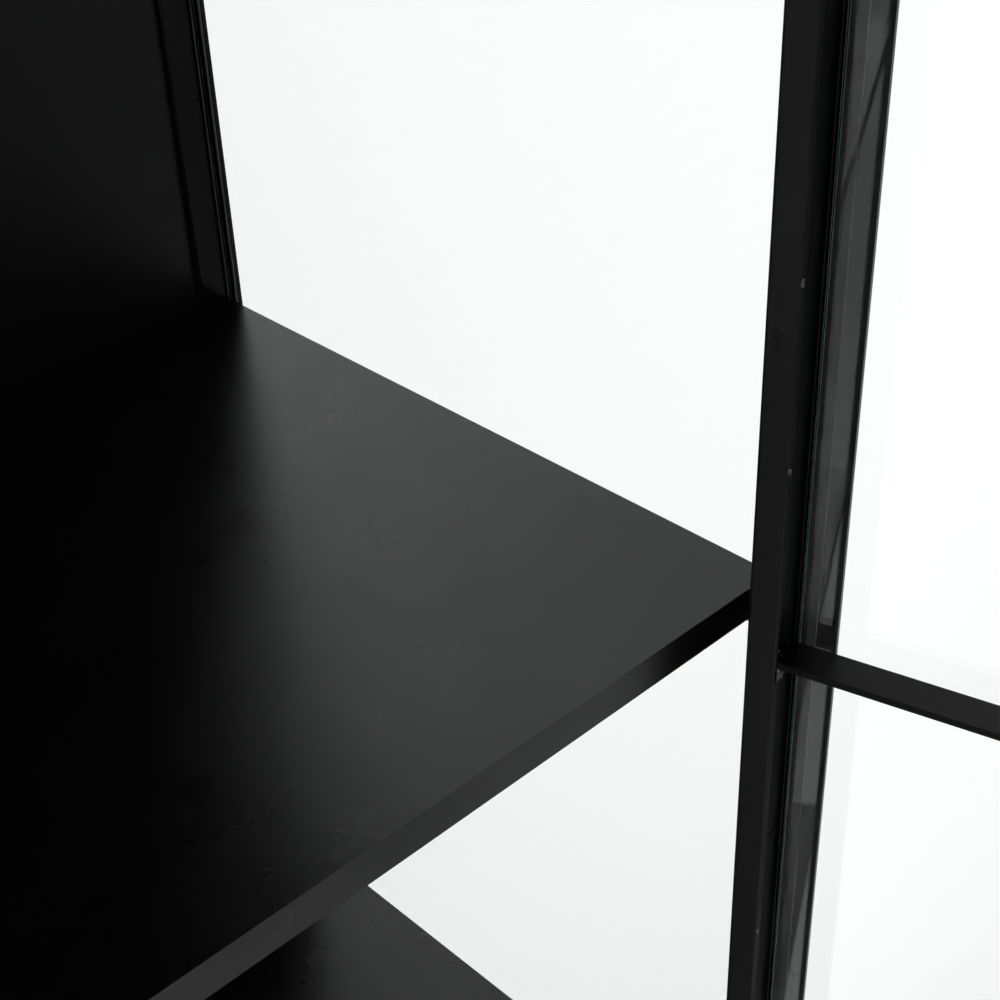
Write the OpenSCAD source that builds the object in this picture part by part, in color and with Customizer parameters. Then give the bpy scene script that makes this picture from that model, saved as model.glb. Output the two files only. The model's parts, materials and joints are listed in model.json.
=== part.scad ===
// Tower display case: a welded tube frame with glass sides, a sheet back,
// four folded shelves and one framed glass door on pivot pins.
// X is the width, Y runs from front (-) to back (+), Z is up. The origin is on
// the floor, below the middle of the case.

/* [Case] */
// Overall width over the side rails
case_w = 760; // [480:10:800]
// Overall depth from front rail to back rail
case_d = 400; // [360:10:480]
// Overall height from floor to top sheet
case_h = 1950; // [1800:10:2000]
// Height of the glides under the frame
foot_h = 8; // [6:1:12]

/* [Frame tubes] */
// Width of a post seen from the front
post_w = 24; // [22:0.5:30]
// Depth of the front posts and front rails
front_post_d = 25.5; // [25:0.5:32]
// Depth of the back posts and back rails
back_post_d = 15.3; // [14:0.1:22]
// Height of the top and bottom rails
rail_h = 30; // [26:1:50]
// Wall thickness of every tube
tube_wall = 1.5; // [1:0.1:2]
// Thickness of the lips that the glass beds against
lip_t = 2; // [1.5:0.1:2.5]
// How far the side lips reach past their tube
side_lip = 5; // [4:0.5:8]

/* [Glazing] */
// Thickness of the side panes
side_glass_t = 5; // [4:1:6]
// Thickness of the door pane
door_glass_t = 4; // [3:1:5]
// Gap between a side pane's edge and the tube beside it
side_gap = 1; // [0.8:0.1:2]
// Gap between the door pane's edge and the tube beside it
door_pane_gap = 2; // [1:0.1:3]

/* [Door] */
// Angle of the open door, 0 when it is shut
door_open = 105; // [0:1:105]
// Thickness of the door frame
door_t = 22; // [21:0.5:24]
// Width of the tube part of a stile
stile_w = 12.6; // [12:0.1:14]
// How far a stile's lip covers the pane
door_lip = 16; // [12:0.5:20]
// Gap between the door and the frame around it
door_gap = 2; // [1.8:0.1:3]
// Thickness of a glazing bar
bar_t = 3; // [2:0.5:4]
// Depth of a glazing bar
bar_d = 15; // [14:0.5:15]
// Diameter of the hinge pins
pin_d = 6; // [5:0.5:6]
// Diameter of the knob
knob_d = 16; // [12:1:18]
// Height of the knob above the floor
knob_z = 1060; // [900:10:1200]

/* [Shelves] */
// Distance from one shelf to the next
shelf_pitch = 380; // [320:5:380]
// Thickness of a folded shelf
shelf_t = 15; // [12:1:20]
// Thickness of the sheet metal
sheet_t = 1.2; // [0.8:0.1:1.5]
// Gap between a shelf's side and the pane beside it
shelf_gap = 1; // [0.5:0.1:2]

/* [Hidden] */
$fn = 48;

BLACK = [0.03, 0.03, 0.035];
STEEL = [0.62, 0.63, 0.65];
GLASS = [0.75, 0.88, 0.86, 0.35];
SEAL = [0.8, 0.82, 0.82];
TAPE = [0.1, 0.1, 0.11];
PLASTIC = [0.08, 0.08, 0.085];

// Small overlaps and clearances, and how far a cut runs past a face
eps = 0.01;
slack = 0.3;
over = 1;
arc_step = 22.5;

// The frame's planes
half_w = case_w / 2;
half_d = case_d / 2;
inner_x = half_w - post_w;
front_wall_y = -half_d + front_post_d;
back_wall_y = half_d - back_post_d;
frame_bottom = foot_h;
frame_top = case_h - tube_wall;
deck_z = frame_bottom + rail_h;
head_z = frame_top - rail_h;
edge_r = 1.2;

// The side panes
tape_t = 1.5;
side_tape_w = 3.5;
seal_recess = 2;
glass_x = half_w - lip_t - tape_t - side_glass_t;

// The door, in its shut position
door_half_w = inner_x - door_gap;
door_in_y = -half_d + door_t;
door_bottom = deck_z + door_gap;
door_top = head_z - door_gap;
door_clear_x = door_half_w - stile_w;
door_tape_t = 1;
door_tape_w = 6;
door_glass_y = -half_d + lip_t + door_tape_t;
hinge_edge = 6.5;
hinge_face = 6;
hinge_x = door_half_w - hinge_edge;
hinge_y = -half_d + hinge_face;
hinge_corner_r = 2;
pin_reach = 12;
pin_clearance = 0.05;
bush_len = 20;

// The shelves
shelf_half_w = glass_x - shelf_gap;
shelf_setback = 1.9;
shelf_front_y = front_wall_y + shelf_setback;
back_panel_recess = 12.2;
back_panel_y = half_d - back_panel_recess;
shelf_back_y = back_panel_y - slack;
shelf_pin_d = 6;
shelf_pin_len = 8;
shelf_pin_inset = 7;
notch_gap = 0.5;
back_panel_gap = 0.7;

// The magnetic catches
catch_w = 40;
catch_h = 16;
catch_d = 15;
catch_inset = 22;
catch_x = -door_clear_x + catch_inset;
catch_gap = 1;
upper_catch_z = head_z + catch_gap;
lower_catch_y = front_wall_y + catch_gap / 2;
magnet_w = 30;
magnet_h = 10;
magnet_gap = 0.4;
magnet_inset = 1.5;
screw_d = 3;
screw_head_d = 6;
screw_inset = 6;

knob_x = -door_half_w + stile_w / 2;
knob_reach = 22;
wall_hole_d = 6.5;
sleeve_wall = 2;
wall_hole_x = 250;
wall_hole_up = 10;

function shelf_top(k) = deck_z + k * shelf_pitch;

// The points of a right-angled outline with each corner rounded by its radius
function rounded(points, radii) = [
    for (i = [0 : len(points) - 1])
        let (
            p = points[i],
            a = points[(i + len(points) - 1) % len(points)] - p,
            b = points[(i + 1) % len(points)] - p,
            u = a / norm(a),
            v = b / norm(b),
            r = radii[i],
            centre = p + r * (u + v)
        )
        for (t = r > 0 ? [0 : arc_step : 90] : [0])
            r > 0 ? centre - r * (cos(t) * v + sin(t) * u) : p
];

module tube_section(w, t, corner_r) {
    difference() {
        polygon(rounded([[0, 0], [w, 0], [w, t], [0, t]], [edge_r, edge_r, 0, corner_r]));
        translate([tube_wall, tube_wall])
            square([w - 2 * tube_wall, t - 2 * tube_wall]);
    }
}

// A tube with a lip along its outer face. X points from the tube to the pane,
// Y from the inner face to the outer one, and the tube runs along Z.
module rebated_tube(length, w, t, lip, lip_inset, corner_r = edge_r) {
    linear_extrude(length) tube_section(w, t, corner_r);
    translate([w - tube_wall / 2, t - lip_t, lip_inset])
        cube([lip + tube_wall / 2, lip_t, length - 2 * lip_inset]);
}

// Children drawn as above, with the tube along Y, the lip up and the outer face to +X
module lay_along_y() {
    multmatrix([[0, 1, 0, 0], [0, 0, 1, 0], [1, 0, 0, 0], [0, 0, 0, 1]]) children();
}

// Children drawn as above, with the tube along X, the lip up and the outer face to -Y
module lay_along_x() {
    multmatrix([[0, 0, 1, 0], [0, -1, 0, 0], [1, 0, 0, 0], [0, 0, 0, 1]]) children();
}

// A flat ring in the XY plane, as thick as t
module ring(w, h, border, t) {
    linear_extrude(t)
        difference() {
            square([w, h]);
            translate([border, border]) square([w - 2 * border, h - 2 * border]);
        }
}

module on_side(side) {
    if (side > 0) children();
    else mirror([1, 0, 0]) children();
}

module swing_door() {
    translate([hinge_x, hinge_y, 0])
        rotate([0, 0, door_open])
            translate([-hinge_x, -hinge_y, 0]) children();
}

// ---- Frame ----

module front_post(side) {
    color(BLACK) on_side(side)
        translate([inner_x, -half_d, frame_bottom])
            rotate([0, 0, 90]) mirror([0, 1, 0])
                rebated_tube(frame_top - frame_bottom, front_post_d, post_w, side_lip, rail_h);
}

module back_post(side) {
    color(BLACK) on_side(side)
        translate([inner_x, half_d, frame_bottom])
            rotate([0, 0, -90])
                rebated_tube(frame_top - frame_bottom, back_post_d, post_w, side_lip, rail_h);
}

module cross_tube(y, depth, z) {
    translate([-inner_x, y, z])
        rotate([90, 0, 90])
            linear_extrude(2 * inner_x)
                difference() {
                    square([depth, rail_h]);
                    translate([tube_wall, tube_wall])
                        square([depth - 2 * tube_wall, rail_h - 2 * tube_wall]);
                }
}

module front_rail(z) {
    color(BLACK) difference() {
        cross_tube(-half_d, front_post_d, z);
        translate([hinge_x, hinge_y, z - over]) cylinder(d = pin_d, h = rail_h + 2 * over);
    }
}

module wall_fixing_places() {
    for (side = [-1, 1])
        translate([side * wall_hole_x, 0, head_z + wall_hole_up]) children();
}

module back_rail(z, fixings) {
    color(BLACK) difference() {
        cross_tube(back_wall_y, back_post_d, z);
        if (fixings) wall_fixing_places()
            translate([0, back_wall_y - over, 0])
                rotate([-90, 0, 0])
                    cylinder(d = wall_hole_d + 2 * sleeve_wall, h = back_post_d + 2 * over);
    }
}

module wall_fixing_sleeves() {
    color(STEEL) wall_fixing_places()
        translate([0, back_wall_y, 0])
            rotate([-90, 0, 0]) difference() {
                cylinder(d = wall_hole_d + 2 * sleeve_wall, h = back_post_d);
                translate([0, 0, -over]) cylinder(d = wall_hole_d, h = back_post_d + 2 * over);
            }
}

module side_rail(side, top) {
    color(BLACK) on_side(side)
        translate([inner_x, front_wall_y, top ? frame_top : frame_bottom])
            mirror([0, 0, top ? 1 : 0])
                lay_along_y()
                    rebated_tube(back_wall_y - front_wall_y, rail_h, post_w, side_lip, side_lip);
}

// ---- Panels ----

module top_panel() {
    flange = 12;
    color(BLACK) {
        translate([-half_w, -half_d, frame_top])
            linear_extrude(tube_wall)
                polygon(rounded([[0, 0], [case_w, 0], [case_w, case_d], [0, case_d]],
                                [edge_r, edge_r, edge_r, edge_r]));
        translate([-inner_x + slack, front_wall_y + slack, frame_top - flange])
            ring(2 * (inner_x - slack), back_wall_y - front_wall_y - 2 * slack,
                 sheet_t, flange + tube_wall / 2);
    }
}

// A sheet with its four edges folded down, top face at z = 0
module tray(w, d, t) {
    difference() {
        translate([0, 0, -t]) cube([w, d, t]);
        translate([sheet_t, sheet_t, -t - over])
            cube([w - 2 * sheet_t, d - 2 * sheet_t, t + over - sheet_t]);
    }
}

module base_deck() {
    color(BLACK)
        translate([-inner_x + slack, front_wall_y + slack, deck_z])
            tray(2 * (inner_x - slack), back_wall_y - front_wall_y - 2 * slack, shelf_t);
}

module back_panel() {
    fold = 11;
    w = 2 * (inner_x - back_panel_gap);
    h = head_z - deck_z - 2 * slack;
    color(BLACK)
        translate([-w / 2, back_panel_y, deck_z + slack])
            rotate([90, 0, 0]) tray(w, h, fold);
}

// ---- Side glazing ----

// Children drawn in the XY plane from the glazed opening's front bottom corner
module in_side_opening(side, x) {
    on_side(side)
        translate([x, front_wall_y, deck_z])
            rotate([90, 0, 90]) children();
}

opening_d = back_wall_y - front_wall_y;
opening_h = head_z - deck_z;

module side_glass(side) {
    color(GLASS) in_side_opening(side, glass_x)
        translate([side_gap, side_gap, 0])
            cube([opening_d - 2 * side_gap, opening_h - 2 * side_gap, side_glass_t]);
}

module side_tape(side) {
    color(TAPE) in_side_opening(side, glass_x + side_glass_t)
        translate([side_gap, side_gap, 0])
            ring(opening_d - 2 * side_gap, opening_h - 2 * side_gap, side_tape_w, tape_t);
}

module side_seal(side) {
    color(SEAL) in_side_opening(side, glass_x + seal_recess)
        ring(opening_d, opening_h, side_gap, side_glass_t - seal_recess);
}

// ---- Shelves ----

module shelf(k) {
    notch_x = inner_x - notch_gap;
    notch_y = back_wall_y - notch_gap;
    notch_size = 20;
    return_lip = 10;
    color(BLACK) translate([0, 0, shelf_top(k)]) {
        difference() {
            translate([-shelf_half_w, shelf_front_y, -shelf_t])
                cube([2 * shelf_half_w, shelf_back_y - shelf_front_y, shelf_t]);
            for (side = [-1, 1])
                translate([side > 0 ? notch_x : -notch_x - notch_size, notch_y, -shelf_t - over])
                    cube([notch_size, notch_size, shelf_t + 2 * over]);
            translate([-shelf_half_w + sheet_t, shelf_front_y + sheet_t, -shelf_t - over])
                cube([2 * (shelf_half_w - sheet_t), notch_y - shelf_front_y - 2 * sheet_t,
                      shelf_t + over - sheet_t]);
        }
        translate([-shelf_half_w + sheet_t, shelf_front_y + eps, -shelf_t])
            cube([2 * (shelf_half_w - sheet_t), return_lip, sheet_t]);
    }
}

module shelf_pins() {
    pin_x = inner_x + shelf_pin_inset;
    color(STEEL)
        for (k = [1 : 4], side = [-1, 1])
            translate([side * pin_x, 0, shelf_top(k) - shelf_t - shelf_pin_d / 2]) {
                translate([0, front_wall_y, 0])
                    rotate([-90, 0, 0]) cylinder(d = shelf_pin_d, h = shelf_pin_len);
                translate([0, back_wall_y, 0])
                    rotate([90, 0, 0]) cylinder(d = shelf_pin_d, h = shelf_pin_len);
            }
}

// ---- Feet ----

module foot(side, front) {
    depth = front ? front_post_d : back_post_d;
    insert_h = 18;
    bevel = 1;
    bevel_h = 2;
    color(PLASTIC) on_side(side)
        translate([inner_x, front ? -half_d : half_d - depth, 0]) {
            translate([bevel, bevel, 0])
                cube([post_w - 2 * bevel, depth - 2 * bevel, foot_h]);
            translate([0, 0, bevel_h]) cube([post_w, depth, foot_h - bevel_h]);
            translate([tube_wall, tube_wall, foot_h - eps])
                cube([post_w - 2 * tube_wall, depth - 2 * tube_wall, insert_h]);
        }
}

// ---- Hinge ----

module hinge_pin() {
    taper = 1;
    tip_d = pin_d - 1.5;
    length = rail_h + door_gap + pin_reach;
    color(STEEL) {
        cylinder(d = pin_d, h = length - taper);
        translate([0, 0, length - taper])
            cylinder(d1 = pin_d, d2 = tip_d, h = taper);
    }
}

module hinge_pin_bottom() {
    translate([hinge_x, hinge_y, frame_bottom]) hinge_pin();
}

module hinge_pin_top() {
    translate([hinge_x, hinge_y, frame_top]) mirror([0, 0, 1]) hinge_pin();
}

module hinge_washer() {
    washer_d = 2 * hinge_face - notch_gap;
    play = 0.1;
    color(STEEL)
        translate([hinge_x, hinge_y, deck_z]) difference() {
            cylinder(d = washer_d, h = door_gap - play);
            translate([0, 0, -over]) cylinder(d = pin_d + 2 * play, h = door_gap + 2 * over);
        }
}

module hinge_bush() {
    difference() {
        translate([tube_wall, tube_wall, 0])
            cube([stile_w - 2 * tube_wall, door_t - 2 * tube_wall, bush_len]);
        translate([hinge_edge, door_t - hinge_face, -over])
            cylinder(d = pin_d + 2 * pin_clearance, h = bush_len + 2 * over);
    }
}

module hinge_bushes() {
    color(PLASTIC) swing_door()
        for (z = [door_bottom, door_top - bush_len])
            translate([door_half_w, door_in_y, z]) rotate([0, 0, 180]) hinge_bush();
}

// ---- Magnetic catches ----

module catch_body(screws_along_y) {
    difference() {
        cube([catch_w, catch_d, catch_h]);
        for (x = [screw_inset, catch_w - screw_inset])
            if (screws_along_y)
                translate([x, -over, catch_h / 2])
                    rotate([-90, 0, 0]) cylinder(d = screw_d, h = catch_d + 2 * over);
            else
                translate([x, catch_d / 2, -over]) cylinder(d = screw_d, h = catch_h + 2 * over);
    }
}

module catch_upper() {
    color(PLASTIC) translate([catch_x, front_wall_y, upper_catch_z]) catch_body(true);
    color(PLASTIC) translate([catch_x, front_wall_y, upper_catch_z - catch_h])
        cube([catch_w, catch_d, catch_h + eps]);
}

module catch_lower() {
    color(PLASTIC) translate([catch_x, lower_catch_y, deck_z]) catch_body(false);
}

module catch_magnets() {
    x = catch_x + (catch_w - magnet_w) / 2;
    y = door_in_y + magnet_gap;
    color(STEEL) {
        translate([x, y, door_top - magnet_inset - magnet_h])
            cube([magnet_w, front_wall_y - y, magnet_h]);
        translate([x, y, door_bottom + magnet_inset])
            cube([magnet_w, lower_catch_y - y, magnet_h]);
    }
}

module catch_screw() {
    head_h = 1.8;
    color(STEEL) {
        translate([0, 0, eps]) cylinder(d = screw_head_d, h = head_h);
        translate([0, 0, -catch_d]) cylinder(d = screw_d, h = catch_d + head_h / 2);
    }
}

module catch_screws() {
    for (x = [screw_inset, catch_w - screw_inset]) {
        translate([catch_x + x, front_wall_y + catch_d, upper_catch_z + catch_h / 2])
            rotate([-90, 0, 0]) catch_screw();
        translate([catch_x + x, lower_catch_y + catch_d / 2, deck_z + catch_h])
            catch_screw();
    }
}

// ---- Door ----

module door_stile(side) {
    color(BLACK) swing_door()
        on_side(side)
            translate([door_half_w, door_in_y, door_bottom])
                rotate([0, 0, 180])
                    rebated_tube(door_top - door_bottom, stile_w, door_t, door_lip,
                                 stile_w, hinge_corner_r);
}

module door_rail(top) {
    color(BLACK) swing_door()
        translate([-door_clear_x, door_in_y, top ? door_top : door_bottom])
            mirror([0, 0, top ? 1 : 0])
                lay_along_x()
                    rebated_tube(2 * door_clear_x, stile_w, door_t, door_lip, door_lip);
}

module muntin(k) {
    color(BLACK) swing_door()
        translate([-door_clear_x, door_in_y - bar_d, shelf_top(k) - (shelf_t + bar_t) / 2])
            cube([2 * door_clear_x, bar_d, bar_t]);
}

// Children drawn in the XY plane from the glazed opening's lower left corner
module in_door_opening(y) {
    swing_door()
        translate([-door_clear_x, y, door_bottom + stile_w])
            rotate([90, 0, 0]) children();
}

door_opening_w = 2 * door_clear_x;
door_opening_h = door_top - door_bottom - 2 * stile_w;

module door_glass() {
    color(GLASS) in_door_opening(door_glass_y + door_glass_t)
        translate([door_pane_gap, door_pane_gap, 0])
            cube([door_opening_w - 2 * door_pane_gap, door_opening_h - 2 * door_pane_gap,
                  door_glass_t]);
}

module door_tape() {
    color(TAPE) in_door_opening(door_glass_y)
        translate([door_pane_gap, door_pane_gap, 0])
            ring(door_opening_w - 2 * door_pane_gap, door_opening_h - 2 * door_pane_gap,
                 door_tape_w, door_tape_t);
}

module door_seal() {
    color(SEAL) in_door_opening(door_glass_y + door_glass_t - seal_recess)
        ring(door_opening_w, door_opening_h, door_pane_gap, door_glass_t - seal_recess);
}

module lock_stile_plugs() {
    plug_h = 15;
    color(PLASTIC) swing_door()
        for (z = [door_bottom, door_top - plug_h])
            translate([-door_half_w + tube_wall, -half_d + tube_wall, z])
                cube([stile_w - 2 * tube_wall, door_t - 2 * tube_wall, plug_h]);
}

module door_knob() {
    collar_r = 5;
    collar_h = 1.2;
    neck_r = 3.5;
    neck_start = 2;
    neck_len = 8;
    flare = 2;
    dome = 2.5;
    dome_step = 15;
    r = knob_d / 2;
    color(STEEL) swing_door()
        translate([knob_x, -half_d, knob_z])
            rotate([90, 0, 0])
                rotate_extrude()
                    polygon(concat(
                        [[0, 0], [collar_r, 0], [collar_r, collar_h]],
                        [[neck_r, neck_start], [neck_r, neck_len], [r, neck_len + flare]],
                        [for (t = [0 : dome_step : 90])
                            [r - dome * (1 - cos(t)), knob_reach - dome * (1 - sin(t))]],
                        [[0, knob_reach]]
                    ));
}

module knob_screw() {
    head_r = 4;
    head_h = 2;
    color(STEEL) swing_door()
        translate([knob_x, door_in_y, knob_z])
            rotate([-90, 0, 0]) cylinder(r = head_r, h = head_h);
}

// ---- Output ----

front_post(-1);  // post_front_left
front_post(1);  // post_front_right
back_post(-1);  // post_back_left
back_post(1);  // post_back_right
front_rail(head_z);  // front_rail_top
front_rail(frame_bottom);  // front_rail_bottom
back_rail(head_z, true);  // back_rail_top
back_rail(frame_bottom, false);  // back_rail_bottom
side_rail(-1, true);  // side_rail_top_left
side_rail(1, true);  // side_rail_top_right
side_rail(-1, false);  // side_rail_bottom_left
side_rail(1, false);  // side_rail_bottom_right
top_panel();
base_deck();
back_panel();
side_glass(-1);  // side_glass_left
side_glass(1);  // side_glass_right
side_tape(-1);  // side_tape_left
side_tape(1);  // side_tape_right
side_seal(-1);  // side_seal_left
side_seal(1);  // side_seal_right
shelf(1);  // shelf_1
shelf(2);  // shelf_2
shelf(3);  // shelf_3
shelf(4);  // shelf_4
shelf_pins();
foot(-1, true);  // foot_front_left
foot(1, true);  // foot_front_right
foot(-1, false);  // foot_back_left
foot(1, false);  // foot_back_right
wall_fixing_sleeves();
hinge_pin_bottom();
hinge_pin_top();
hinge_washer();
catch_upper();
catch_lower();
catch_magnets();
catch_screws();
door_stile(1);  // door_hinge_stile
door_stile(-1);  // door_lock_stile
door_rail(true);  // door_rail_top
door_rail(false);  // door_rail_bottom
muntin(1);  // muntin_1
muntin(2);  // muntin_2
muntin(3);  // muntin_3
muntin(4);  // muntin_4
door_glass();
door_tape();
door_seal();
hinge_bushes();
lock_stile_plugs();
door_knob();
knob_screw();
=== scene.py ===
"""The looks of the tower display case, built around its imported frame. Metres throughout."""

import json
import math
import random

import bmesh
import bpy
from mathutils import Matrix, Vector


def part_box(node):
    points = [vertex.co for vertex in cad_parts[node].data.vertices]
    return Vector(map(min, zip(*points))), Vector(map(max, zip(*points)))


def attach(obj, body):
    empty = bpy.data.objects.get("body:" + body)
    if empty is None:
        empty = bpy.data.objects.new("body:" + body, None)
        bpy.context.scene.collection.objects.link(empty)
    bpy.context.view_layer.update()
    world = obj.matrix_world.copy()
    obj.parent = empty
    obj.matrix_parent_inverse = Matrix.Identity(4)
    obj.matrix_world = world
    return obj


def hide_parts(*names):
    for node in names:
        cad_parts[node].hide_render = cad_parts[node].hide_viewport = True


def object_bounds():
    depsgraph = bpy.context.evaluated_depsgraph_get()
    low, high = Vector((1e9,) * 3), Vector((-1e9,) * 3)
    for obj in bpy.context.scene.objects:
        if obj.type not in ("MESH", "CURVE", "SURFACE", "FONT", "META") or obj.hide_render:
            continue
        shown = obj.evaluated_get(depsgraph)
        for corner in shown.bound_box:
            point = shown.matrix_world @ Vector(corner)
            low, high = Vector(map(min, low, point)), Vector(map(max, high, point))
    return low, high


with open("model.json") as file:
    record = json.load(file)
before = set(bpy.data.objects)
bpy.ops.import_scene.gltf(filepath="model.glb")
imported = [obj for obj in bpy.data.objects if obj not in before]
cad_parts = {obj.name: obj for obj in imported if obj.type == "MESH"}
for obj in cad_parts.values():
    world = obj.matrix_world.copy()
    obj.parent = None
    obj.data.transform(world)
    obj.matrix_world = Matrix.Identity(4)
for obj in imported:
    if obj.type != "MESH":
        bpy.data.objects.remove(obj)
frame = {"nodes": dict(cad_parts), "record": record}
cad_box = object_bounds()

MM = 0.001
LEVELS = range(1, 5)      # of the shelves, with a glazing bar at each
random.seed(7)

# ---- Camera and studio ----

SEEN_SHELF = "shelf_3"
EYE_HEIGHT = 0.397        # above the seen shelf
EYE_LEFT = 0.4474         # of the shelf's right edge
EYE_FRONT = 0.3255        # of the shelf's front edge
HEADING = 42.965          # degrees from +Y towards +X
PITCH = 33.375            # degrees below the horizon
ROLL = -2.301
LENS = 61.78


def make_camera():
    low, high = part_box(SEEN_SHELF)
    a, p, r = (math.radians(v) for v in (HEADING, PITCH, ROLL))
    forward = Vector((math.sin(a) * math.cos(p), math.cos(a) * math.cos(p), -math.sin(p)))
    right = Vector((math.cos(a), -math.sin(a), 0))
    up = right.cross(forward)
    camera_x = right * math.cos(r) + up * math.sin(r)
    camera_y = up * math.cos(r) - right * math.sin(r)
    turn = Matrix((camera_x, camera_y, -forward)).transposed()
    data = bpy.data.cameras.new("photo_camera")
    data.lens = LENS
    data.sensor_width = 36
    data.clip_start = 0.02
    camera = bpy.data.objects.new("photo_camera", data)
    camera.rotation_mode = "QUATERNION"
    camera.rotation_quaternion = turn.to_quaternion()
    camera.location = (high[0] - EYE_LEFT, low[1] - EYE_FRONT, high[2] + EYE_HEIGHT)
    bpy.context.scene.collection.objects.link(camera)
    bpy.context.scene.camera = camera


ROOM_LIGHT = 1.35
RIGHT_SHARE = 0.42        # of the room's light that comes from high on the right
FRONT_SHARE = 0.18        # of it that comes from behind the camera
LEFT_SHARE = 0.8          # of it that comes from the left
KEY_LIGHT = 8.0
KEY_PLACE = (-0.82, 0.05, 0.57)
KEY_EDGE = (0.92, 0.98)   # cosines at which the key light starts and is full
FLOOR_HALF = 12.0
BACK_PAINTED_EMISSION = 0.45         # painted light behind the case and to its right
FRONT_PAINTED_EMISSION = 0.02         # painted light in front of it, kept low as painted shade
# Floor colours behind the case and in front of it; the darker front colour is painted shade
BACK_LIT_COLOUR = (0.55, 0.55, 0.55)
FRONT_SHADE_COLOUR = (0.22, 0.22, 0.22)
FLOOR_FADE_Y = (-2.0, 0.0)
FLOOR_FADE_X = (-2.5, -0.2)
# Share of the floor's painted light kept at its far left; the drop is painted shade
LEFT_LIT_SHARE = 0.3


def multiply(tree, one, two):
    both = tree.nodes.new("ShaderNodeMath")
    both.operation = "MULTIPLY"
    tree.links.new(one, both.inputs[0])
    tree.links.new(two, both.inputs[1])
    return both.outputs["Value"]


def make_world():
    """A soft white room, dimmer on three sides, with a broad soft key light high on the left."""
    world = bpy.data.worlds.new("white_studio")
    world.use_nodes = True
    tree = world.node_tree
    place = tree.nodes.new("ShaderNodeTexCoord").outputs["Generated"]
    split = tree.nodes.new("ShaderNodeSeparateXYZ")
    tree.links.new(place, split.inputs["Vector"])
    right = add_range(tree, split.outputs["X"], 0.5, 0.74, 1.0, RIGHT_SHARE)
    left = add_range(tree, split.outputs["X"], -0.5, 0.1, LEFT_SHARE, 1.0)
    front = add_range(tree, split.outputs["Y"], -0.35, 0.25, FRONT_SHARE, 1.0)
    room = multiply(tree, multiply(tree, right, left), front)
    aim = tree.nodes.new("ShaderNodeVectorMath")
    aim.operation = "DOT_PRODUCT"
    aim.inputs[1].default_value = KEY_PLACE
    tree.links.new(place, aim.inputs[0])
    key = add_range(tree, aim.outputs["Value"], *KEY_EDGE, 0.0, KEY_LIGHT)
    total = tree.nodes.new("ShaderNodeMath")
    total.operation = "ADD"
    tree.links.new(add_range(tree, room, 0.0, 1.0, 0.0, ROOM_LIGHT), total.inputs[0])
    tree.links.new(key, total.inputs[1])
    tree.links.new(total.outputs["Value"], tree.nodes["Background"].inputs["Strength"])
    tree.nodes["Background"].inputs["Color"].default_value = (1, 1, 1, 1)
    bpy.context.scene.world = world


def make_floor():
    """A wide floor with painted light: its colour darkens and its emission dims towards the front and the
    left, as painted shade.
    """
    mesh = bpy.data.meshes.new("studio_floor")
    corners = [(-1, -1), (1, -1), (1, 1), (-1, 1)]
    mesh.from_pydata([(x * FLOOR_HALF, y * FLOOR_HALF, cad_box[0][2]) for x, y in corners],
                     [], [(0, 1, 2, 3)])
    floor = bpy.data.objects.new("studio_floor", mesh)
    bpy.context.scene.collection.objects.link(floor)
    material, shader, tree = new_material("floor_with_painted_light")
    place = tree.nodes.new("ShaderNodeTexCoord").outputs["Object"]
    split = tree.nodes.new("ShaderNodeSeparateXYZ")
    tree.links.new(place, split.inputs["Vector"])
    back = add_range(tree, split.outputs["Y"], *FLOOR_FADE_Y, 0.0, 1.0)
    right = add_range(tree, split.outputs["X"], *FLOOR_FADE_X, LEFT_LIT_SHARE, 1.0)
    # Share of painted light on the floor, falling off towards the front and the left
    pale = multiply(tree, back, right)
    # Painted shade: the floor's colour darkens towards the front and the left
    tree.links.new(add_ramp(tree, pale, FRONT_SHADE_COLOUR, BACK_LIT_COLOUR), shader.inputs["Base Color"])
    shader.inputs["Roughness"].default_value = 0.9
    shader.inputs["Emission Color"].default_value = (1, 1, 1, 1)
    # Painted light: the floor gives off light, most behind the case and to its right
    painted_emission = add_range(tree, pale, 0.0, 1.0, FRONT_PAINTED_EMISSION, BACK_PAINTED_EMISSION)
    tree.links.new(painted_emission, shader.inputs["Emission Strength"])
    mesh.materials.append(material)


# ---- Materials ----

def new_material(name):
    material = bpy.data.materials.new(name)
    material.use_nodes = True
    tree = material.node_tree
    return material, tree.nodes["Principled BSDF"], tree


def add_noise(tree, scale, detail=2.0, rough=0.5):
    """A noise texture in the piece's own frame; scale is in cells per metre."""
    place = tree.nodes.new("ShaderNodeTexCoord")
    noise = tree.nodes.new("ShaderNodeTexNoise")
    noise.inputs["Scale"].default_value = scale
    noise.inputs["Detail"].default_value = detail
    noise.inputs["Roughness"].default_value = rough
    tree.links.new(place.outputs["Object"], noise.inputs["Vector"])
    return noise.outputs["Fac"]


def add_range(tree, value, low, high, new_low, new_high):
    remap = tree.nodes.new("ShaderNodeMapRange")
    remap.inputs["From Min"].default_value = low
    remap.inputs["From Max"].default_value = high
    remap.inputs["To Min"].default_value = new_low
    remap.inputs["To Max"].default_value = new_high
    tree.links.new(value, remap.inputs["Value"])
    return remap.outputs["Result"]


def add_ramp(tree, value, low_colour, high_colour, low=0.0, high=1.0):
    ramp = tree.nodes.new("ShaderNodeValToRGB")
    first, last = ramp.color_ramp.elements
    first.position, first.color = low, (*low_colour, 1)
    last.position, last.color = high, (*high_colour, 1)
    tree.links.new(value, ramp.inputs["Fac"])
    return ramp.outputs["Color"]


def add_bump(tree, shader, height, distance, strength=1.0):
    bump = tree.nodes.new("ShaderNodeBump")
    bump.inputs["Distance"].default_value = distance
    bump.inputs["Strength"].default_value = strength
    tree.links.new(height, bump.inputs["Height"])
    tree.links.new(bump.outputs["Normal"], shader.inputs["Normal"])


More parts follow.
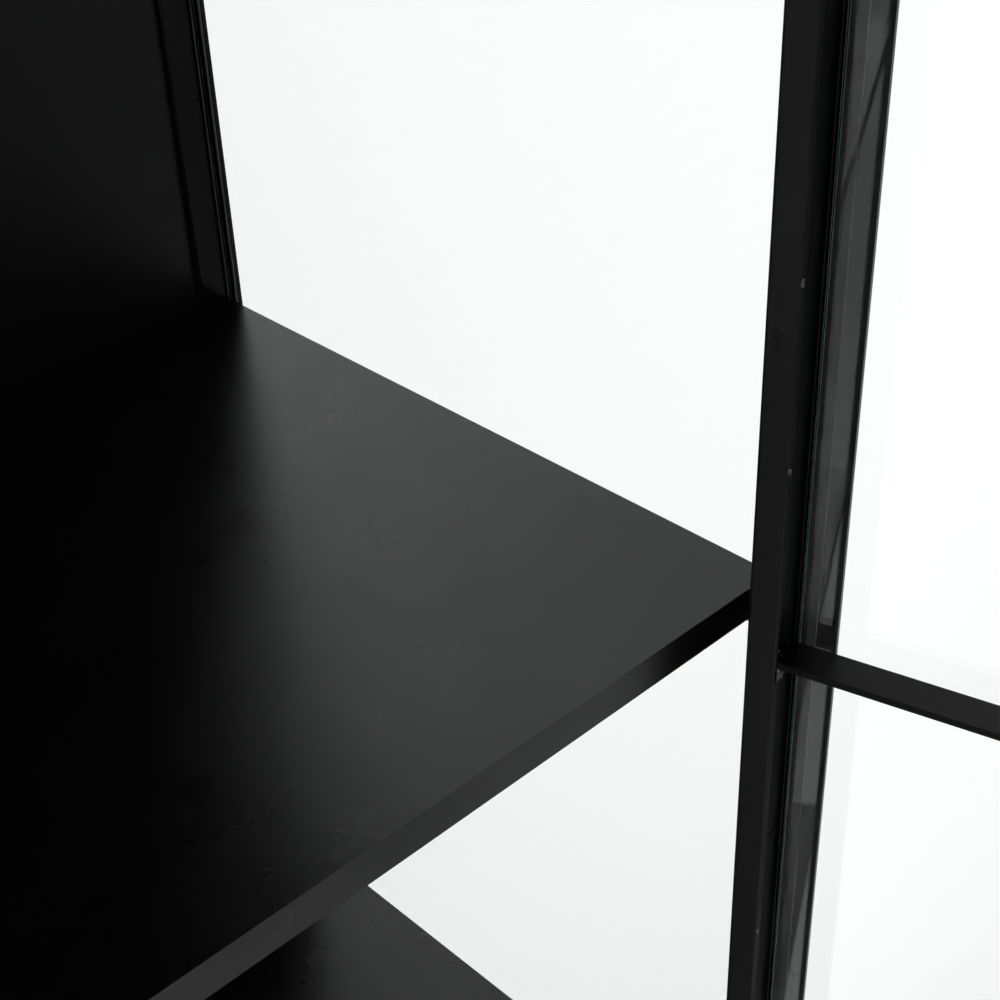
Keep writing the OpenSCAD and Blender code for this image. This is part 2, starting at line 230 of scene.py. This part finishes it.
def powder_coat(name, roughness, gloss_level, peel=900):
    """Satin black powder coat: a fine orange peel, and slow changes of tone and gloss."""
    material, shader, tree = new_material(name)
    tone = add_noise(tree, 9, 3)
    colour = add_ramp(tree, tone, (0.0014, 0.0014, 0.0016), (0.003, 0.003, 0.0033), 0.3, 0.7)
    tree.links.new(colour, shader.inputs["Base Color"])
    smear = add_noise(tree, 26, 4, 0.6)
    gloss = add_range(tree, smear, 0.3, 0.7, roughness - 0.02, roughness + 0.04)
    tree.links.new(gloss, shader.inputs["Roughness"])
    shader.inputs["Specular IOR Level"].default_value = gloss_level
    add_bump(tree, shader, add_noise(tree, peel, 2), 0.02 * MM, 0.5)
    return material


def clear_glass(name):
    material, shader, _ = new_material(name)
    shader.inputs["Base Color"].default_value = (0.965, 0.99, 0.98, 1)
    shader.inputs["Transmission Weight"].default_value = 1.0
    shader.inputs["Roughness"].default_value = 0.0
    shader.inputs["IOR"].default_value = 1.5
    return material


def ground_glass(name):
    """The pane's ground edge: pale teal and frosted, with fine grinding marks."""
    material, shader, tree = new_material(name)
    colour = add_ramp(tree, add_noise(tree, 220, 3), (0.13, 0.2, 0.19), (0.24, 0.32, 0.31), 0.3, 0.7)
    tree.links.new(colour, shader.inputs["Base Color"])
    shader.inputs["Transmission Weight"].default_value = 0.45
    shader.inputs["Roughness"].default_value = 0.5
    shader.inputs["IOR"].default_value = 1.5
    add_bump(tree, shader, add_noise(tree, 2400, 2), 0.03 * MM)
    return material


def bedding_tape(name):
    material, shader, tree = new_material(name)
    colour = add_ramp(tree, add_noise(tree, 120, 3), (0.006, 0.006, 0.007), (0.022, 0.022, 0.024),
                      0.35, 0.7)
    tree.links.new(colour, shader.inputs["Base Color"])
    shader.inputs["Roughness"].default_value = 0.6
    add_bump(tree, shader, add_noise(tree, 900, 2), 0.05 * MM)
    return material


def clear_seal(name):
    """The squeezed-out bead of clear silicone; its light grey is partly the silicone over the black coat
    and partly a painted highlight along the bead's edge.
    """
    material, shader, tree = new_material(name)
    # Light grey standing in, in part, for the highlight on the bead's edge
    shader.inputs["Base Color"].default_value = (0.2, 0.21, 0.21, 1)
    shader.inputs["Transmission Weight"].default_value = 0.3
    shader.inputs["Roughness"].default_value = 0.3
    shader.inputs["IOR"].default_value = 1.41
    add_bump(tree, shader, add_noise(tree, 160, 2), 0.2 * MM, 0.5)
    return material


def deep_seal(name):
    """Silicone down in the groove beside a pane: dull and nearly black, with a teal cast that is painted
    light from the pane's ground edge.
    """
    material, shader, tree = new_material(name)
    # The teal in this colour is painted light from the pane's edge
    colour = add_ramp(tree, add_noise(tree, 90, 2), (0.0006, 0.001, 0.002), (0.001, 0.004, 0.0045),
                      0.35, 0.65)
    tree.links.new(colour, shader.inputs["Base Color"])
    shader.inputs["Roughness"].default_value = 0.7
    shader.inputs["Specular IOR Level"].default_value = 0.0
    return material


def silicone_smear_and_painted_reflection(name):
    """Clear silicone pressed flat between pane and lip; its grey is partly the silicone over the black coat
    and partly a painted reflection of the bright room.
    """
    material, shader, tree = new_material(name)
    cloud = add_noise(tree, 70, 4, 0.6)
    # Grey that is partly painted reflection of the bright room seen in the glass
    colour = add_ramp(tree, cloud, (0.022, 0.022, 0.021), (0.06, 0.06, 0.058), 0.3, 0.7)
    tree.links.new(colour, shader.inputs["Base Color"])
    shader.inputs["Roughness"].default_value = 0.55
    add_bump(tree, shader, add_noise(tree, 500, 3), 0.06 * MM)
    return material


def weld_metal(name):
    """A weld under thin coat: uneven, paler and glossier than the tube."""
    material, shader, tree = new_material(name)
    colour = add_ramp(tree, add_noise(tree, 500, 3), (0.03, 0.03, 0.03), (0.2, 0.2, 0.195), 0.35, 0.65)
    tree.links.new(colour, shader.inputs["Base Color"])
    shader.inputs["Roughness"].default_value = 0.3
    add_bump(tree, shader, add_noise(tree, 1500, 3), 0.15 * MM)
    return material


def painted_gap_shade(name):
    """Painted shade: a near-black colour for the dark of an open gap."""
    material, shader, tree = new_material(name)
    # Near-black colour standing in for the shade inside the gap
    colour = add_ramp(tree, add_noise(tree, 900, 2), (0.0002, 0.0002, 0.0002), (0.0009, 0.0008, 0.0009))
    tree.links.new(colour, shader.inputs["Base Color"])
    shader.inputs["Roughness"].default_value = 0.9
    shader.inputs["Specular IOR Level"].default_value = 0.0
    return material


def pressed_silicone(name):
    """Silicone wiped up the wall of the groove, where it looks a purplish grey."""
    material, shader, tree = new_material(name)
    colour = add_ramp(tree, add_noise(tree, 60, 3), (0.01, 0.0092, 0.0115), (0.02, 0.0185, 0.022),
                      0.35, 0.65)
    tree.links.new(colour, shader.inputs["Base Color"])
    shader.inputs["Roughness"].default_value = 0.5
    shader.inputs["Specular IOR Level"].default_value = 0.3
    add_bump(tree, shader, add_noise(tree, 300, 3), 0.08 * MM)
    return material


def moulded_plastic(name):
    material, shader, tree = new_material(name)
    tone = add_noise(tree, 40, 2)
    colour = add_ramp(tree, tone, (0.012, 0.012, 0.012), (0.02, 0.02, 0.021), 0.3, 0.7)
    tree.links.new(colour, shader.inputs["Base Color"])
    shader.inputs["Roughness"].default_value = 0.55
    add_bump(tree, shader, add_noise(tree, 1500, 1), 0.03 * MM)
    return material


def zinc_plate(name):
    material, shader, tree = new_material(name)
    tone = add_noise(tree, 300, 3)
    colour = add_ramp(tree, tone, (0.46, 0.46, 0.45), (0.62, 0.62, 0.63), 0.3, 0.7)
    tree.links.new(colour, shader.inputs["Base Color"])
    shader.inputs["Metallic"].default_value = 1.0
    gloss = add_range(tree, add_noise(tree, 700, 2), 0.3, 0.7, 0.22, 0.38)
    tree.links.new(gloss, shader.inputs["Roughness"])
    return material


def make_materials():
    return {
        "coated_tube": powder_coat("satin_black_tube", 0.29, 0.23),
        "coated_sheet": powder_coat("satin_black_sheet", 0.28, 0.5),
        "bar": powder_coat("satin_black_bar", 0.31, 0.1),
        "panel": powder_coat("satin_black_panel", 0.42, 0.42),
        "black_knob": powder_coat("satin_black_knob", 0.3, 0.5),
        "clear_glass": clear_glass("float_glass"),
        "glazing_tape": bedding_tape("bedding_tape"),
        "glazing_seal": deep_seal("deep_silicone_teal_painted_light"),
        "smear": silicone_smear_and_painted_reflection("silicone_smear_and_painted_reflection"),
        "bead": clear_seal("silicone_bead_painted_highlight"),
        "ground_edge": ground_glass("ground_glass_edge"),
        "weld": weld_metal("coated_weld"),
        # Painted shade for the dark lines below the bars
        "gap": painted_gap_shade("painted_gap_shade"),
        "fillet": pressed_silicone("pressed_silicone"),
        "glide_plastic": moulded_plastic("glide_plastic"),
        "black_plastic": moulded_plastic("catch_plastic"),
        "zinc_steel": zinc_plate("zinc_steel"),
    }


# Nodes that look unlike the rest of their slot
OWN_LOOKS = {"back_panel": "panel"} | {f"muntin_{k}": "bar" for k in LEVELS}


def dress_cad_nodes(materials):
    for part in frame["record"]["subparts"]:
        piece = frame["nodes"][part["node"]]
        for socket in piece.material_slots:
            socket.material = materials[OWN_LOOKS.get(part["node"], part["material_slot"])]


# ---- Spaces ----

joint = frame["record"]["behaviour"]["joints"][0]
OPEN_ANGLE = -math.radians(joint["range_deg"][0])
CASE = Matrix()
# Turns the shut door's coordinates, taken from its pivot, into the open door's place
DOOR = Matrix.Translation(joint["pos_m"]) @ Matrix.Rotation(OPEN_ANGLE, 4, "Z")


def local_box(node, space=CASE):
    back = space.inverted()
    points = [back @ v.co for v in frame["nodes"][node].data.vertices]
    low = Vector([min(p[i] for p in points) for i in range(3)])
    high = Vector([max(p[i] for p in points) for i in range(3)])
    return low, high


def local_islands(node, space=CASE):
    """The box of each separate solid of a node."""
    back = space.inverted()
    bm = bmesh.new()
    bm.from_mesh(frame["nodes"][node].data)
    bmesh.ops.remove_doubles(bm, verts=bm.verts[:], dist=0.001 * MM)
    left = set(bm.verts)
    boxes = []
    while left:
        group, edge = set(), [left.pop()]
        while edge:
            vert = edge.pop()
            group.add(vert)
            near = {e.other_vert(vert) for e in vert.link_edges} & left
            left -= near
            edge += near
        points = [back @ v.co for v in group]
        boxes.append((Vector([min(p[i] for p in points) for i in range(3)]),
                      Vector([max(p[i] for p in points) for i in range(3)])))
    bm.free()
    return sorted(boxes, key=lambda b: tuple(b[0]))


def add_piece(bm, name, body, space, slots, replaced=()):
    """Turns a mesh drawn in a space into a finished piece of a body."""
    bmesh.ops.recalc_face_normals(bm, faces=bm.faces[:])
    bm.transform(space)
    mesh = bpy.data.meshes.new(name)
    bm.to_mesh(mesh)
    bm.free()
    for material in slots:
        mesh.materials.append(material)
    piece = bpy.data.objects.new(name, mesh)
    bpy.context.scene.collection.objects.link(piece)
    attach(piece, body)
    if replaced:
        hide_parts(*replaced)
    return piece


# ---- Glazing ----

ARRIS = 0.35 * MM
TAPE_BORDER = {"door": 6 * MM, "case": 3.5 * MM}
TAPE_SHARE = 0.52         # of the bedding that is dark tape; the rest is smeared silicone, paler partly as painted reflection
TAPE_WANDER = 0.09        # how far the tape's inner line wanders, as a share of the border
TAPE_NOTCH = 0.3          # the tape's width where silicone runs over it, as a share of the border
NOTCH_CHANCE = 0.05
BEAD_STEP = 2.5 * MM
BEAD_HALF = 0.17 * MM
BEAD_WANDER = 0.07 * MM
BEAD_BLOB = 0.6 * MM
BEAD_FILL = 0.96          # of the tape's thickness
BLOB_CHANCE = 0.02
FILLET_HALF = 0.35 * MM
FILLET_RISE = 0.8 * MM    # above the seal
FILLET_WANDER = 0.06 * MM


def make_pane(node, name, body, space, thin):
    """A pane with clear faces and ground, chamfered edges; thin is the axis through it."""
    low, high = local_box(node, space)
    bm = bmesh.new()
    bmesh.ops.create_cube(bm, size=1)
    for vert in bm.verts:
        vert.co = Vector([high[i] if vert.co[i] > 0 else low[i] for i in range(3)])
    bmesh.ops.bevel(bm, geom=bm.edges[:], offset=ARRIS, segments=1, affect="EDGES", profile=0.5)
    for face in bm.faces:
        face.normal_update()
        face.material_index = 0 if abs(face.normal[thin]) > 0.99 else 1
    add_piece(bm, name, body, space, [materials["clear_glass"], materials["ground_edge"]],
              [node])


def add_run(bm, start, end, across, out, widths, heights, sides=8):
    """A bead from start to end, with a half width and a half height at each of its rings."""
    rings = []
    for k, (w, h) in enumerate(zip(widths, heights)):
        middle = start.lerp(end, k / (len(widths) - 1))
        ring = []
        for i in range(sides):
            turn = math.tau * i / sides
            ring.append(bm.verts.new(middle + across * w * math.cos(turn) + out * h * math.sin(turn)))
        rings.append(ring)
    for one, two in zip(rings, rings[1:]):
        for i in range(sides):
            j = (i + 1) % sides
            bm.faces.new((one[i], one[j], two[j], two[i])).smooth = True
    bm.faces.new(rings[0])
    bm.faces.new(rings[-1])


def hand_laid(count, usual, change, blob, chance):
    """Widths that wander as a hand-laid bead does, and go to the blob's width here and there."""
    width, target, result = usual, usual, []
    for k in range(count):
        if k % 6 == 0:
            target = usual + random.uniform(-change, change)
            if random.random() < chance:
                target = blob
        width += (target - width) * 0.4
        result.append(width)
    return result


def make_bead(node, name, body, space, thin):
    """The thin line of silicone that squeezes out along the inner edge of the bedding tape."""
    low, high = local_box(node, space)
    border = TAPE_BORDER[body]
    flat = 0 if thin == 1 else 1
    middle = (low[thin] + high[thin]) / 2
    half = BEAD_FILL * (high[thin] - low[thin]) / 2
    out = Vector([1 if i == thin else 0 for i in range(3)])
    along = Vector([1 if i == flat else 0 for i in range(3)])
    up = Vector((0, 0, 1))

    def corner(right, top):
        point = Vector((0, 0, high.z - border if top else low.z + border))
        point[thin] = middle
        point[flat] = high[flat] - border if right else low[flat] + border
        return point

    bm = bmesh.new()
    runs = [((0, 0), (0, 1), along), ((1, 0), (1, 1), along), ((0, 0), (1, 0), up),
            ((0, 1), (1, 1), up)]
    for first, last, across in runs:
        start, end = corner(*first), corner(*last)
        count = int((end - start).length / BEAD_STEP)
        widths = hand_laid(count, BEAD_HALF, BEAD_WANDER, BEAD_BLOB, BLOB_CHANCE)
        add_run(bm, start, end, across, out, widths, [half] * count)
    add_piece(bm, name, body, space, [materials["bead"]])


def make_bedding(node, name, body, space, thin):
    """Dark tape along the pane's edge and smeared silicone inside it, with an uneven line between; the
    silicone's paler grey is partly painted reflection.
    """
    low, high = local_box(node, space)
    border = TAPE_BORDER[body]
    flat = 0 if thin == 1 else 1
    bm = bmesh.new()

    def vertex(a, z, depth):
        point = Vector((0, 0, z))
        point[flat], point[thin] = a, depth
        return bm.verts.new(point)

    def strip(start, end, inward, upright):
        """One closed side of the ring, with points at its outer edge, uneven line and inner edge."""
        count = int((end - start) / BEAD_STEP)
        cut = hand_laid(count + 1, border * TAPE_SHARE, border * TAPE_WANDER, border * TAPE_NOTCH,
                        NOTCH_CHANCE)
        rows = []
        for k in range(count + 1):
            run = start + (end - start) * k / count
            row = []
            for reach in (0, cut[k], border):
                across = inward[0] + inward[1] * reach
                for depth in (low[thin], high[thin]):
                    row.append(vertex(across, run, depth) if upright else vertex(run, across, depth))
            rows.append(row)
        for one, two in zip(rows, rows[1:]):
            for near, far, index in ((0, 2, 0), (2, 4, 1)):
                bm.faces.new((one[near], one[far], two[far], two[near])).material_index = index
                bm.faces.new((one[near + 1], two[near + 1], two[far + 1],
                              one[far + 1])).material_index = index
            for edge, index in ((0, 0), (4, 1)):
                bm.faces.new((one[edge], two[edge], two[edge + 1], one[edge + 1])).material_index = index
        for row in (rows[0], rows[-1]):
            for near, far, index in ((0, 2, 0), (2, 4, 1)):
                bm.faces.new((row[near], row[far], row[far + 1], row[near + 1])).material_index = index

    strip(low.z, high.z, (low[flat], 1), True)
    strip(low.z, high.z, (high[flat], -1), True)
    strip(low[flat] + border, high[flat] - border, (low.z, 1), False)
    strip(low[flat] + border, high[flat] - border, (high.z, -1), False)
    add_piece(bm, name, body, space, [materials["glazing_tape"], materials["smear"]],
              [node])


def make_groove_fillet():
    """Silicone wiped along the wall of the groove round the door's pane."""
    low, high = local_box("door_seal", DOOR)
    bm = bmesh.new()

    def corner(right, top):
        x = high.x - FILLET_HALF if right else low.x + FILLET_HALF
        return Vector((x, high.y, high.z - FILLET_HALF if top else low.z + FILLET_HALF))

    along, up = Vector((1, 0, 0)), Vector((0, 0, 1))
    runs = [((0, 0), (0, 1), along), ((1, 0), (1, 1), along), ((0, 0), (1, 0), up),
            ((0, 1), (1, 1), up)]
    for first, last, across in runs:
        start, end = corner(*first), corner(*last)
        count = int((end - start).length / BEAD_STEP)
        widths = hand_laid(count, FILLET_HALF, FILLET_WANDER, BEAD_BLOB, BLOB_CHANCE)
        add_run(bm, start, end, across, Vector((0, 1, 0)), widths, [FILLET_RISE] * count)
    add_piece(bm, "door_groove_fillet", "door", DOOR, [materials["fillet"]])


def make_glazing():
    make_groove_fillet()
    make_pane("door_glass", "door_pane", "door", DOOR, 1)
    make_bedding("door_tape", "door_bedding", "door", DOOR, 1)
    make_bead("door_tape", "door_bead", "door", DOOR, 1)
    for side in ("left", "right"):
        make_pane(f"side_glass_{side}", f"side_pane_{side}", "case", CASE, 0)
        make_bedding(f"side_tape_{side}", f"side_bedding_{side}", "case", CASE, 0)
        make_bead(f"side_tape_{side}", f"side_bead_{side}", "case", CASE, 0)


# ---- Welds ----

WELD_STEP = 0.7 * MM
WELD_HALF = 0.9 * MM
SPATTER = 7               # drops above each end of a bar
NIBS = 16                 # on each stile
NIB_SINK = 0.4 * MM       # of a nib's middle below both faces of the stile's edge
BLOTCHES = 90             # lumps of the weld under each end of a bar
# The gap pieces are near-black rods of painted shade
GAP_LENGTH = 6.5 * MM
GAP_HALF = 0.42 * MM
GAP_SINK = 0.55 * MM      # of the gap's middle below both faces of the stile's edge
GAP_RINGS = 12


def make_bar_welds(k):
    """A fillet and lumps of weld under each end of a glazing bar, with drops of spatter above it."""
    low, high = local_box(f"muntin_{k}", DOOR)
    bm = bmesh.new()
    for x, inward in ((low.x, 1), (high.x, -1)):
        start = Vector((x, low.y + 1.5 * MM, low.z))
        end = Vector((x, high.y - 1 * MM, low.z))
        count = int((end - start).length / WELD_STEP)
        widths = [WELD_HALF * random.uniform(0.7, 1.15) for _ in range(count)]
        heights = [WELD_HALF * random.uniform(0.6, 1.0) for _ in range(count)]
        add_run(bm, start, end, Vector((1, 0, 0)), Vector((0, 0, 1)), widths, heights)
        for _ in range(BLOTCHES):
            size = random.uniform(0.45, 1.0) * MM
            drop = 7 * MM * random.random() ** 1.4
            place = Vector((x, high.y - random.uniform(1.3, 13) * MM, low.z - drop))
            flat = Matrix.Diagonal((random.uniform(0.4, 0.9), 1, 1.4, 1))
            bmesh.ops.create_icosphere(bm, subdivisions=3, radius=size,
                                       matrix=Matrix.Translation(place) @ flat)
        for _ in range(SPATTER):
            size = random.uniform(0.12, 0.3) * MM
            place = Vector((x + inward * size / 2, random.uniform(low.y + 1 * MM, high.y - 1 * MM),
                            high.z + random.uniform(1, 5) * MM))
            bmesh.ops.create_icosphere(bm, subdivisions=2, radius=size,
                                       matrix=Matrix.Translation(place))
    for face in bm.faces:
        face.smooth = True
    add_piece(bm, f"bar_welds_{k}", "door", DOOR, [materials["weld"]])


def make_painted_gap_shades(k):
    """A near-black rod below each end of a bar, painted shade for the open line where its weld stops short
    of the stile's face.
    """
    low, high = local_box(f"muntin_{k}", DOOR)
    bm = bmesh.new()
    for x, inward in ((low.x, 1), (high.x, -1)):
        start = Vector((x - inward * GAP_SINK, high.y - GAP_SINK, low.z - 0.5 * MM))
        end = start - Vector((0, 0, GAP_LENGTH))
        halves = [GAP_HALF * math.sin(math.pi * (i + 0.5) / GAP_RINGS) ** 0.3 for i in range(GAP_RINGS)]
        # The rod sits in the stile's edge and shows as a dark line of painted shade
        add_run(bm, start, end, Vector((1, 0, 0)), Vector((0, 1, 0)), halves, halves)
    add_piece(bm, f"bar_painted_gap_shades_{k}", "door", DOOR, [materials["gap"]])


def make_nibs():
    """A few nibs of coat on the inner edge of each stile."""
    bm = bmesh.new()
    bar_low, bar_high = local_box("muntin_1", DOOR)
    for node, x in (("door_hinge_stile", bar_high.x + NIB_SINK), ("door_lock_stile", bar_low.x - NIB_SINK)):
        low, high = local_box(node, DOOR)
        for _ in range(NIBS):
            size = random.uniform(0.4, 0.75) * MM
            place = Vector((x, high.y - NIB_SINK, random.uniform(low.z, high.z)))
            stretch = Matrix.Diagonal((1, 1, random.uniform(1, 2.4), 1))
            bmesh.ops.create_icosphere(bm, subdivisions=2, radius=size,
                                       matrix=Matrix.Translation(place) @ stretch)
    for face in bm.faces:
        face.smooth = True
    add_piece(bm, "coat_nibs", "door", DOOR, [materials["weld"]])


# ---- Turned pieces ----

def add_lathe(bm, profile, place, sides=64):
    """Turns (radius, height) points round Z, puts them at place and returns the rings of vertices."""
    rings = []
    for radius, height in profile:
        if radius == 0:
            rings.append([bm.verts.new(place @ Vector((0, 0, height)))])
        else:
            rings.append([bm.verts.new(place @ Vector((radius * math.cos(math.tau * i / sides),
                                                       radius * math.sin(math.tau * i / sides),
                                                       height))) for i in range(sides)])
    for one, two in zip(rings, rings[1:]):
        for i in range(sides):
            j = (i + 1) % sides
            corners = [one[i % len(one)], one[j % len(one)], two[j % len(two)], two[i % len(two)]]
            bm.faces.new(list(dict.fromkeys(corners))).smooth = True
    return rings


def arc(centre, radius, first, last, steps=8):
    """Points on an arc, in (radius, height), between two angles in degrees."""
    return [(centre[0] + radius * math.cos(math.radians(first + (last - first) * k / steps)),
             centre[1] + radius * math.sin(math.radians(first + (last - first) * k / steps)))
            for k in range(steps + 1)]


ALONG_Y = Matrix.Rotation(math.radians(-90), 4, "X")
ALONG_BACK_Y = Matrix.Rotation(math.radians(90), 4, "X")
KNOB_SIDES = 96
SCREW_SIDES = 40


def make_knob():
    """The turned pull knob: a collar, a thin neck and a flared head with a groove in its face."""
    low, high = local_box("door_knob", DOOR)
    r, length = (high.x - low.x) / 2, high.y - low.y
    collar, neck = 5 * MM, 3.5 * MM
    edge = 1.2 * MM
    profile = [(0, 0), (collar, 0), (collar, 0.9 * MM), (collar - 0.4 * MM, 1.3 * MM)]
    profile += arc((neck + 1.2 * MM, 3.2 * MM), 1.2 * MM, 240, 180, 4)
    profile += [(neck, 7.5 * MM), (r - 1 * MM, 9.6 * MM)]
    profile += arc((r - edge, 10.6 * MM), edge, -50, 0, 4)
    profile += arc((r - 2 * MM, length - 2 * MM), 2 * MM, 0, 82, 8)
    profile += [(r - 4 * MM, length - 0.15 * MM), (r - 4.4 * MM, length - 0.45 * MM),
                (r - 4.8 * MM, length - 0.15 * MM), (0, length)]
    bm = bmesh.new()
    middle = Vector(((low.x + high.x) / 2, high.y, (low.z + high.z) / 2))
    add_lathe(bm, profile, Matrix.Translation(middle) @ ALONG_BACK_Y, KNOB_SIDES)
    add_piece(bm, "pull_knob", "door", DOOR, [materials["black_knob"]], ["door_knob"])


def add_screw(bm, place, head_r, head_h, shank):
    """A pan-head screw with a cross recess. Its head sits on height 0 and its shank goes below."""
    profile = [(0, 0)]
    if shank > 1 * MM:
        profile = [(0, -shank), (head_r / 2, -shank), (head_r / 2, 0)]
    profile += [(head_r, 0), (head_r, 0.35 * head_h), (0.94 * head_r, 0.72 * head_h),
                (0.8 * head_r, 0.93 * head_h), (0.68 * head_r, head_h)]
    rim = add_lathe(bm, profile, place, SCREW_SIDES)[-1]
    reach, half, depth = 0.52 * head_r, 0.11 * head_r, 0.6 * head_h
    outline = []
    for quarter in range(4):
        spin = Matrix.Rotation(math.radians(90 * quarter), 4, "Z")
        outline += [spin @ Vector((x, y, head_h)) for x, y in ((reach, -half), (reach, half), (half, half))]
    upper = [bm.verts.new(place @ point) for point in outline]
    lower = [bm.verts.new(place @ (point - Vector((0, 0, depth)))) for point in outline]
    edges = [bm.edges.get((one, two)) for one, two in zip(rim, rim[1:] + rim[:1])]
    edges += [bm.edges.new((one, two)) for one, two in zip(upper, upper[1:] + upper[:1])]
    bmesh.ops.triangle_fill(bm, edges=edges, use_beauty=True)
    for i in range(len(outline)):
        j = (i + 1) % len(outline)
        bm.faces.new((upper[i], upper[j], lower[j], lower[i]))
    bm.faces.new(lower)


def make_screws(node, name, body, space, head_r, head_h):
    """A screw along Y or Z for each solid of the node."""
    bm = bmesh.new()
    for low, high in local_islands(node, space):
        size = high - low
        along_y = abs(size.x - size.z) < abs(size.x - size.y)
        axis, aim = (1, ALONG_Y) if along_y else (2, Matrix())
        seat = (low + high) / 2
        seat[axis] = high[axis] - head_h
        turn = Matrix.Rotation(random.uniform(0, 1.5), 4, "Z")
        add_screw(bm, Matrix.Translation(seat) @ aim @ turn, head_r, head_h, size[axis] - head_h)
    add_piece(bm, name, body, space, [materials["zinc_steel"]], [node])


# ---- Edges of the carried-over nodes ----

def round_edges(node, width, segments):
    """Rounds a node's sharp edges with a modifier; the node's own mesh stays as packed."""
    piece = frame["nodes"][node]
    bevel = piece.modifiers.new("edges", "BEVEL")
    bevel.width = width
    bevel.segments = segments
    bevel.limit_method = "ANGLE"
    bevel.angle_limit = math.radians(40)
    bevel.use_clamp_overlap = True
    bevel.harden_normals = False
    normals = piece.modifiers.new("normals", "WEIGHTED_NORMAL")
    normals.keep_sharp = True


make_camera()
bpy.context.scene.view_settings.view_transform = "Standard"
materials = make_materials()
make_world()
make_floor()
dress_cad_nodes(materials)

make_glazing()
for k in LEVELS:
    round_edges(f"shelf_{k}", 0.7 * MM, 3)
    round_edges(f"muntin_{k}", 0.3 * MM, 2)
    make_bar_welds(k)
    make_painted_gap_shades(k)
make_nibs()
make_knob()
make_screws("knob_screw", "knob_screw_head", "door", DOOR, 4 * MM, 2 * MM)
make_screws("catch_screws", "catch_screw_heads", "case", CASE, 3 * MM, 1.8 * MM)
for node in ("foot_front_left", "foot_front_right", "foot_back_left", "foot_back_right",
             "catch_upper", "catch_lower", "catch_magnets"):
    round_edges(node, 0.5 * MM, 2)
for node in ("top_panel", "base_deck", "back_panel"):
    round_edges(node, 0.5 * MM, 2)
